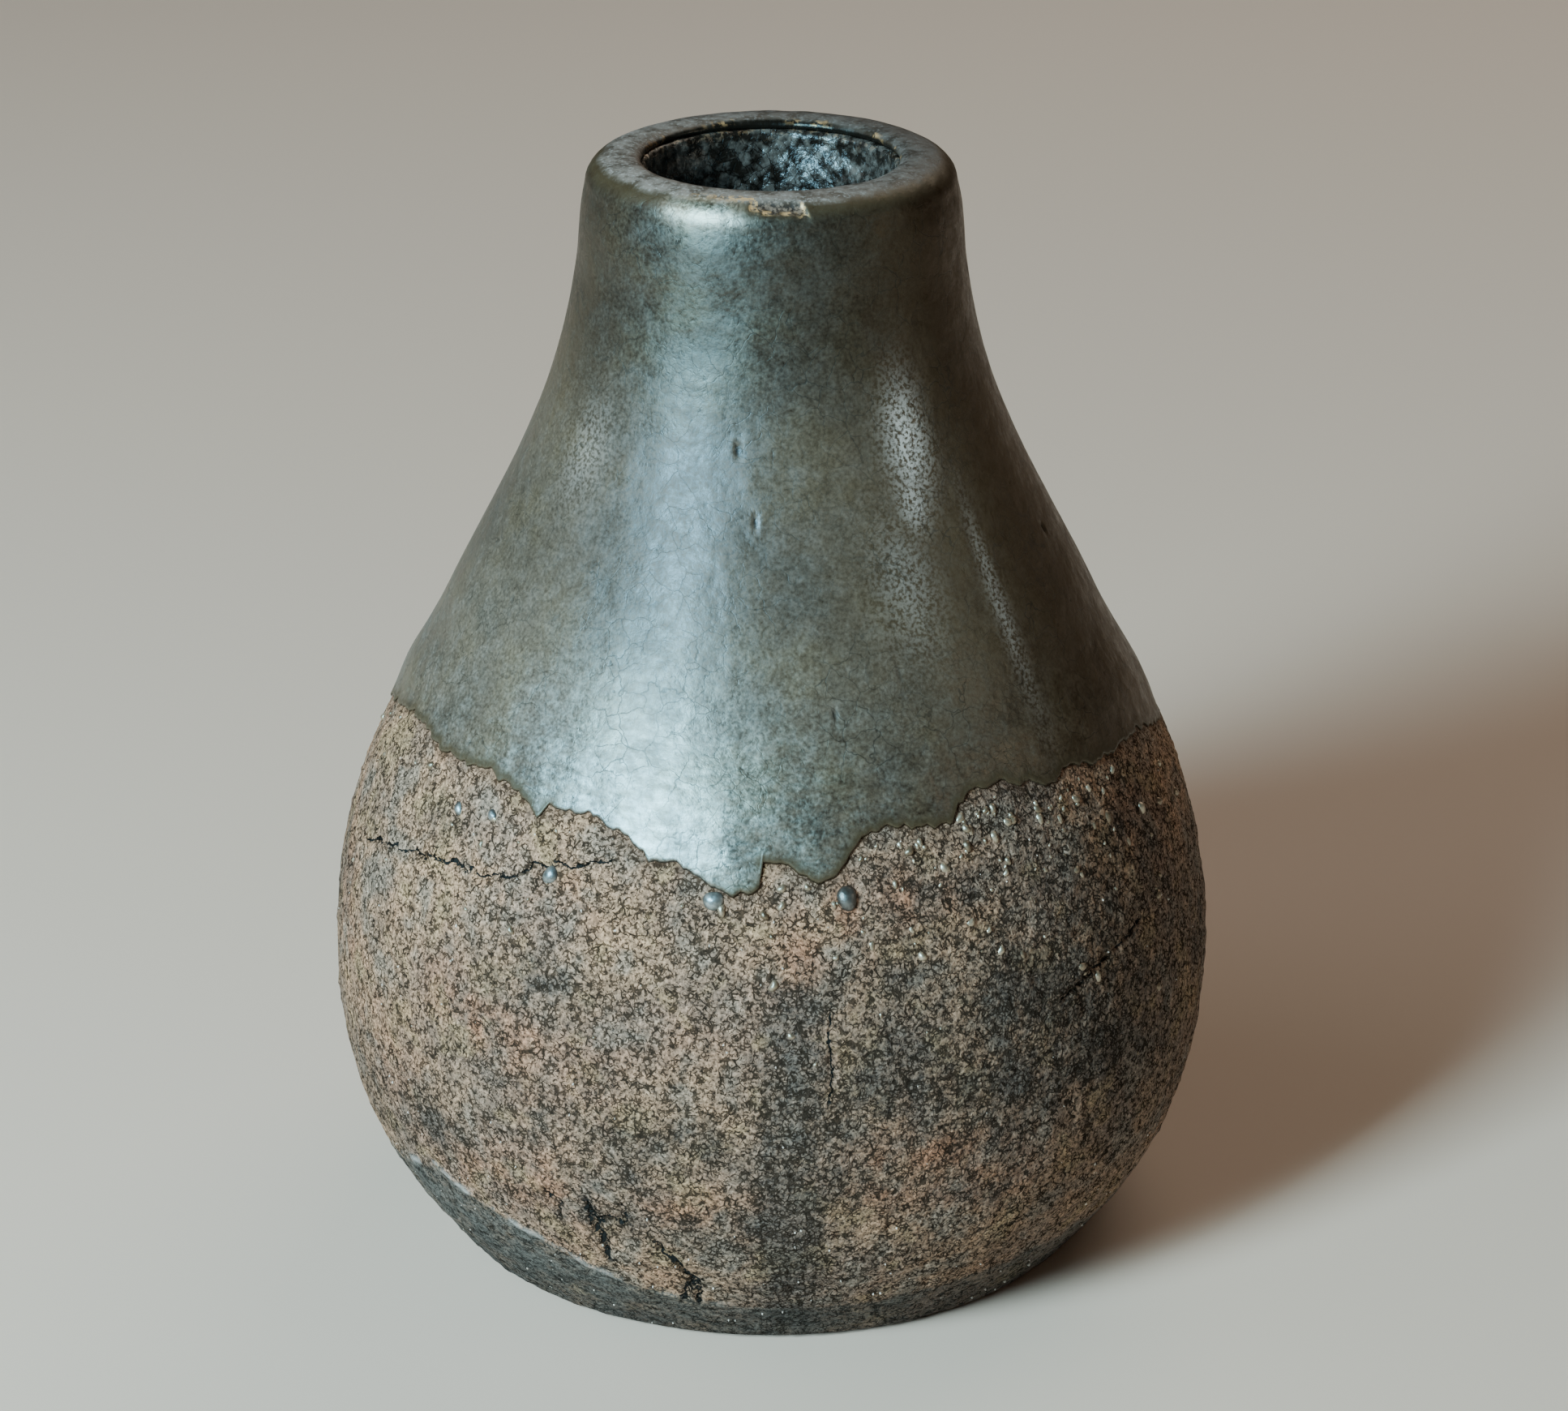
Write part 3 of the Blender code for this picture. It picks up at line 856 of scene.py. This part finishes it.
def ridge_strength(azimuth):
    """How strong the foot's trimmed edge and its painted highlight are: crisp at the front left, nearly lost
    elsewhere.
    """
    turn = np.radians(azimuth + 50)
    return 0.15 + 0.85 * np.maximum(np.cos(turn), 0) ** 2


def make_outer_glaze():
    """The outer coat: over the rim's top, down the neck and shoulder to its ragged, rounded edge."""
    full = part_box("outer_glaze")[1].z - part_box("clay_body")[1].z
    start = outline.lip - RIM_TURN
    past_curve = outline.shoulder + 8 * MM
    fixed = outline.along_at(82 * MM)  # rows above it are level
    upper = grid(
        spaced(start, outline.shoulder, 0.3 * MM),
        spaced(outline.shoulder, past_curve, 0.42 * MM),
        spaced(past_curve, fixed, 0.85 * MM),
    )
    share = (np.arange(1, EDGE_ROWS + 1) / EDGE_ROWS)[:, None] ** 0.8
    along = np.vstack([upper, fixed + (edge_along - fixed) * share])
    base = place_points(along, 0)
    radius, height, _, up = outline.at(along)

    from_edge = distance_to_edge(along)
    from_edge[-1] = 0
    lip = rounded(from_edge, LIP_ROUND)
    inner_lip = rounded(along - start, 0.8 * MM)
    body = LIP_THICKNESS + (full - LIP_THICKNESS) * ease(from_edge, 0, EDGE_THINNING)

    ragged = layered(base, 2.2 * MM, 61, 3)
    chip_round = degrees_from(CHIP["azimuth"], azimuths) / CHIP["half_width"]
    sag = CHIP["bottom"] + 0.8 * MM * np.clip(-chip_round, 0, 1) + 0.4 * MM * ragged
    on_side = ease(height, sag - 0.25 * MM, sag + 0.25 * MM) * (along > outline.lip + 2 * MM)
    off_top = 1 - ease(up + 0.10 * ragged, 0.90, 0.98)
    chip = on_side * off_top * (1 - ease(np.abs(chip_round) + 0.25 * ragged, 0.80, 0.98))

    holes = np.zeros(along.shape)
    for azimuth, middle, hole_radius in PINHOLES:
        across = np.radians(degrees_from(azimuth, azimuths)) * radius
        away = np.hypot(across, height - middle * MM) / (hole_radius * MM)
        holes = np.maximum(holes, 1 - ease(away, 0.45, 1.1))

    lift = body * lip * inner_lip
    lift = lift + lip * 0.16 * MM * layered(base, 22 * MM, 62, 2)
    lift = lift + lip * 0.03 * MM * layered(base, 2.4 * MM, 63, 2)
    lift = lift + 0.10 * MM * ease(up, 0.6, 1.0) * layered(base, 4 * MM, 64, 2) * inner_lip
    lift = lift - chip * (CHIP["depth"] + 0.22 * MM * layered(base, 0.9 * MM, 65, 2))
    lift = lift - 0.5 * MM * holes
    lift = np.maximum(lift, 0.02 * MM * lip)

    # Where the glaze is thin, and painted light: the window's highlight, and dark brown shade on the sides
    from_top = along - outline.shoulder
    window = bell(degrees_from(-22, azimuths), 14, 4)
    # Painted highlight of the window, round -22 degrees just under the rim's outer edge
    painted_window_highlight = window * bell(from_top - 2.6 * MM, 1.7 * MM)
    # The olive-brown of thin glaze is mostly taken out where the window's highlight falls, a painted
    # highlight
    brown = 1 - 0.85 * bell(degrees_from(-19, azimuths), 15, 4)
    rim_edge = bell(from_top - 2.2 * MM, 1.7 * MM)
    thin = bell(from_edge, 1.3 * MM, 1.5) * brown + 0.85 * rim_edge * (1 - 0.7 * window)
    # Painted shade: the glaze dark brown round 86 degrees, and on the neck round -88 degrees
    on_neck = ease(height, 100 * MM, 118 * MM)
    warm = bell(degrees_from(86, azimuths), 66 - 4 * on_neck, 4)
    warm = warm + 0.5 * on_neck * bell(degrees_from(-88, azimuths), 34, 4)

    # The rim's flat top, and the dark glaze that turns in from it
    inside = along < (outline.lip + outline.shoulder) / 2
    speckled = layered(base, 2 * MM, 66, 2)
    behind = 0.5 - 0.5 * np.cos(turns)
    turned_in = ease(up + 0.08 * speckled, 0.25 + 0.55 * behind, 0.60 + 0.36 * behind)
    rim = np.where(inside, turned_in, ease(up + 0.06 * speckled, 0.80, 0.97))
    inner = inside * (1 - turned_in)

    # Gold-brown along the chip's broken edges, partly painted glints, and painted glints inside the rim, most
    # at the back
    chip_rim = np.clip(4 * chip * (1 - chip), 0, 1) ** 2
    low_or_right = np.clip((height < sag + 0.45 * MM) + (chip_round > 0.62), 0, 1)
    break_line = bell(from_top - 1.3 * MM, 0.35 * MM) * bell(degrees_from(-9, azimuths), 13)
    glints = ease(layered(base, 2.2 * MM, 67, 2), 0.05, 0.40) * np.clip(4 * turned_in * inner, 0, 1) * behind
    gold_and_glint = chip_rim * low_or_right + break_line * (chip_round < -0.7) + 0.8 * glints
    looks = {
        "thin": np.clip(thin, 0, 1),
        "rim": rim,
        # the rim's top painted lighter round -55 degrees and darker round 125 degrees
        "painted_rim_light_and_shade": 1.12 + 0.58 * np.cos(np.radians(azimuths + 55)),
        "painted_window_highlight": painted_window_highlight,
        "warm": warm,
        # a painted cool reflection, strongest round -24 degrees
        "painted_cool_reflection": 0.10 + 0.50 * bell(degrees_from(-24, azimuths), 21, 4),
        "chip": chip,
        "inner": inner,
        "gold_and_glint": np.clip(gold_and_glint, 0, 1),
        "hole": holes,
        "bloom_and_highlight": blobs(BLOOMS_AND_HIGHLIGHTS, azimuths, height),
    }
    under_along = along[::-12][1:]
    points = np.vstack([place_points(along, lift), place_points(under_along, -SUNK)])
    below = 0 * under_along
    values = {key: np.vstack([np.broadcast_to(look, along.shape), below]) for key, look in looks.items()}
    piece = skin("gunmetal_glaze", points, outer_glaze_material(), values, wrap=True)
    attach(piece, "root")
    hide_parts("outer_glaze")


def make_liner():
    """The liner coat inside, lumpy near the mouth."""
    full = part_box("outer_glaze")[1].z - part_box("clay_body")[1].z
    end = outline.lip - RIM_TURN + 0.3 * MM
    lumpy = end - 16 * MM
    turn = turns[::LINER_EVERY]
    along = grid(spaced(0, lumpy, 3 * MM), spaced(lumpy, end, 0.4 * MM), [end], columns=len(turn))
    base = place_points(along, 0, turn)
    from_lip = end - along
    near = 1 - ease(from_lip, 9 * MM, 15 * MM)
    lumps = near * 0.30 * MM * layered(base, 2.6 * MM, 71, 3)
    inner = place_points(along, rounded(from_lip, 0.9 * MM) * (full - 0.12 * MM + lumps), turn)
    under_along = along[::-4][1:]
    under_along[-1] = 0
    under = place_points(under_along, -SUNK, turn)
    lip = np.vstack([bell(from_lip, 0.55 * MM, 1), 0 * under_along])
    piece = skin("black_liner", np.vstack([inner, under]), liner_material(), {"lip": lip})
    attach(piece, "root")
    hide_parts("liner_glaze")


def dome(azimuth, height, half_width, rise, rings, sides, wobble, seed, lengthen):
    """Points of a drop that stands on the clay: rings by sides, from its top to just inside the clay and back
    to its middle underneath. wobble makes it uneven, and lengthen stretches it up and down."""
    along = float(outline.along_at(height))
    radius = float(outline.at(along)[0])
    angle = np.arange(sides) * math.tau / sides
    slant = np.linspace(0, 0.5, rings)[:, None] * math.pi
    uneven = 1 + wobble * np.sin(2 * angle + seed) + 0.5 * wobble * np.sin(3 * angle + 2 * seed)
    spread = half_width * np.sin(slant) * uneven
    lift = rise * np.cos(slant) - SUNK * (slant / slant[-1]) + 0 * angle
    spread = np.vstack([spread, np.zeros((1, sides))])
    lift = np.vstack([lift, np.full((1, sides), -SUNK)])
    turn = math.radians(azimuth) + spread * np.cos(angle) / radius
    return place_points(along + spread * np.sin(angle) * lengthen, lift, turn)[:, ::-1]


def make_beads():
    """The drops of glaze that ran past the line, each a smooth dome on the clay where the frame's bead is."""
    finish = bead_material()
    beads = [name for name in sorted(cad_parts) if name.startswith("glaze_bead")]
    for seed, node in enumerate(beads):
        low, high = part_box(node)
        centre = (low + high) / 2
        azimuth = math.degrees(math.atan2(centre.x, -centre.y))
        half_width = (high.z - low.z) / 2
        points = dome(azimuth, centre.z, half_width, 0.62 * half_width, 14, 32, 0.10, seed * 1.7, 1.1)
        least_brown = 0.65 if node == "glaze_bead_right" else 0.0
        brown = np.maximum(np.linspace(0, 1, len(points))[:, None] ** 5, least_brown)
        piece = skin(node.replace("glaze_bead", "drop"), points, finish, {"brown": brown})
        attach(piece, "root")
        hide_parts(node)


def scatter(name, spots, material, rings, sides):
    """Many small domes as one piece. Each spot is (azimuth, height, half-width, rise, shade)."""
    corners, faces, shades = [], [], []
    for number, (azimuth, height, half_width, rise, shade) in enumerate(spots):
        points = dome(azimuth, height, half_width, rise, rings, sides, 0.22, number * 2.1, 1.15)
        rows = len(points) - 2  # between the top point and the bottom one
        first = len(corners)
        ids = first + 1 + np.arange(rows * sides).reshape(rows, sides)
        bottom = first + 1 + rows * sides
        corners.append(points[0, 0])
        corners.extend(points[1:-1].reshape(-1, 3))
        corners.append(points[-1, 0])
        for k in range(sides):
            onward = (k + 1) % sides
            faces.append((first, ids[0, k], ids[0, onward]))
            faces.append((bottom, ids[-1, onward], ids[-1, k]))
            for row in range(rows - 1):
                faces.append((ids[row, k], ids[row + 1, k], ids[row + 1, onward], ids[row, onward]))
        shades.extend([shade] * (len(corners) - len(shades)))
    faces = [tuple(int(i) for i in face) for face in faces]
    at = np.array([corners[i] for face in faces for i in face])
    turn = np.arctan2(at[:, 0], -at[:, 1]) / math.tau + 0.5
    places = np.stack([turn, at[:, 2] / VASE_HEIGHT], axis=-1)
    corners = [tuple(corner) for corner in corners]
    made = mesh_piece(name, corners, faces, places, material, {"shade": np.array(shades)})
    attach(made, "root")
    return made


def make_spots():
    """Melted grit below the glaze line, most on the right, and pale grog grains all over."""
    random = np.random.default_rng(7)
    spots = []
    while len(spots) < GRIT_COUNT:
        azimuth = random.uniform(-180, 180)
        height = random.uniform(14, 73)
        near_line = math.exp(-max(0, 68 - height) / 7)
        thick = 0.08 + 1.2 * bell(azimuth - 30, 24) + 0.35 * bell(azimuth + 165, 50)
        line = float(glaze_edge_at(np.array(azimuth)))
        if random.random() < near_line * thick and height * MM < line - 0.9 * MM:
            half_width = (0.24 + 0.42 * random.random() ** 2) * MM
            rise = half_width * random.uniform(0.5, 0.85)
            spots.append((azimuth, height * MM, half_width, rise, random.random()))
    finish = bump_material("melted_grit", (0.200, 0.150, 0.100), (0.520, 0.440, 0.330), 0.32, 0.70)
    made = scatter("melted_grit", spots, finish, 5, 10)

    grains = []
    while len(grains) < GROG_COUNT:
        azimuth = random.uniform(-180, 180)
        height = random.uniform(0.8, 70) * (0.35 if random.random() < 0.35 else 1)
        line = float(glaze_edge_at(np.array(azimuth)))
        if height * MM < line - 0.8 * MM:
            half_width = random.uniform(0.09, 0.21) * MM
            grains.append((azimuth, height * MM, half_width, 0.16 * MM, random.random()))
    finish = bump_material("pale_grog", (0.36, 0.32, 0.27), (0.80, 0.76, 0.70), 0.6)
    made = scatter("pale_grog", grains, finish, 3, 6)


# ---- studio


def make_studio():
    """A plain pale floor, a tall soft light at the front left, weaker ones around and a soft warm sky."""
    mesh = bpy.data.meshes.new("studio_floor")
    reach = 3.0
    corners = [(-reach, -reach, 0), (reach, -reach, 0), (reach, reach, 0), (-reach, reach, 0)]
    mesh.from_pydata(corners, [], [(0, 1, 2, 3)])
    floor = linked("studio_floor", mesh)
    r = Recipe("studio_floor")
    mesh.materials.append(r.finish(Base_Color=FLOOR_COLOUR, Roughness=0.9))
    floor.location.z = -0.2 * MM

    # The window lights the vase and is mirrored in it as two lamps, because its reflection is bluer
    window = {"azimuth": -41, "elevation": 24, "away": 1.0, "size": (0.24, 0.46)}
    soft_light("window_light", **window, power=28, colour=(0.68, 0.93, 1.0)).visible_glossy = False
    soft_light("window_sheen", **window, power=40, colour=(0.36, 0.76, 1.0)).visible_diffuse = False
    fill = {"azimuth": -88, "elevation": 35, "away": 1.2, "size": (0.8, 0.8)}
    soft_light("left_fill", **fill, power=1.9, colour=(0.95, 0.97, 1.0))
    side = {"azimuth": 72, "elevation": 14, "away": 0.9, "size": (0.08, 0.08)}
    soft_light("side_light", **side, power=0.30, colour=(1.0, 0.92, 0.78))
    back = {"azimuth": 150, "elevation": 45, "away": 1.3, "size": (0.9, 0.9)}
    soft_light("back_light", **back, power=5, colour=(1.0, 0.86, 0.70))

    world = bpy.data.worlds.new("studio_sky")
    bpy.context.scene.world = world
    world.use_nodes = True
    background = world.node_tree.nodes["Background"]
    background.inputs["Color"].default_value = (*SKY_COLOUR, 1)
    background.inputs["Strength"].default_value = SKY_STRENGTH


def soft_light(name, azimuth, elevation, away, size, power, colour):
    """An area light that faces the vase's middle from away metres off. size is its width and height."""
    light = bpy.data.lights.new(name, "AREA")
    light.shape = "RECTANGLE"
    light.size, light.size_y = size
    light.energy = power
    light.color = colour
    lamp = linked(name, light)
    middle = Vector((0, 0, LIT_HEIGHT))
    turn, rise = math.radians(azimuth), math.radians(elevation)
    towards = Vector((math.sin(turn) * math.cos(rise), -math.cos(turn) * math.cos(rise), math.sin(rise)))
    lamp.location = middle + towards * away
    lamp.rotation_euler = (-towards).to_track_quat("-Z", "Y").to_euler()
    return lamp


def make_camera():
    camera = bpy.data.cameras.new("camera")
    camera.lens = CAMERA_LENS
    camera.sensor_width = 36
    camera.clip_start = 0.01
    holder = linked("camera", camera)
    holder.location = CAMERA_PLACE
    holder.rotation_euler = (math.radians(90 - CAMERA_TILT), 0, 0)
    bpy.context.scene.camera = holder


make_camera()
make_clay()
make_outer_glaze()
make_liner()
make_beads()
make_spots()
make_studio()
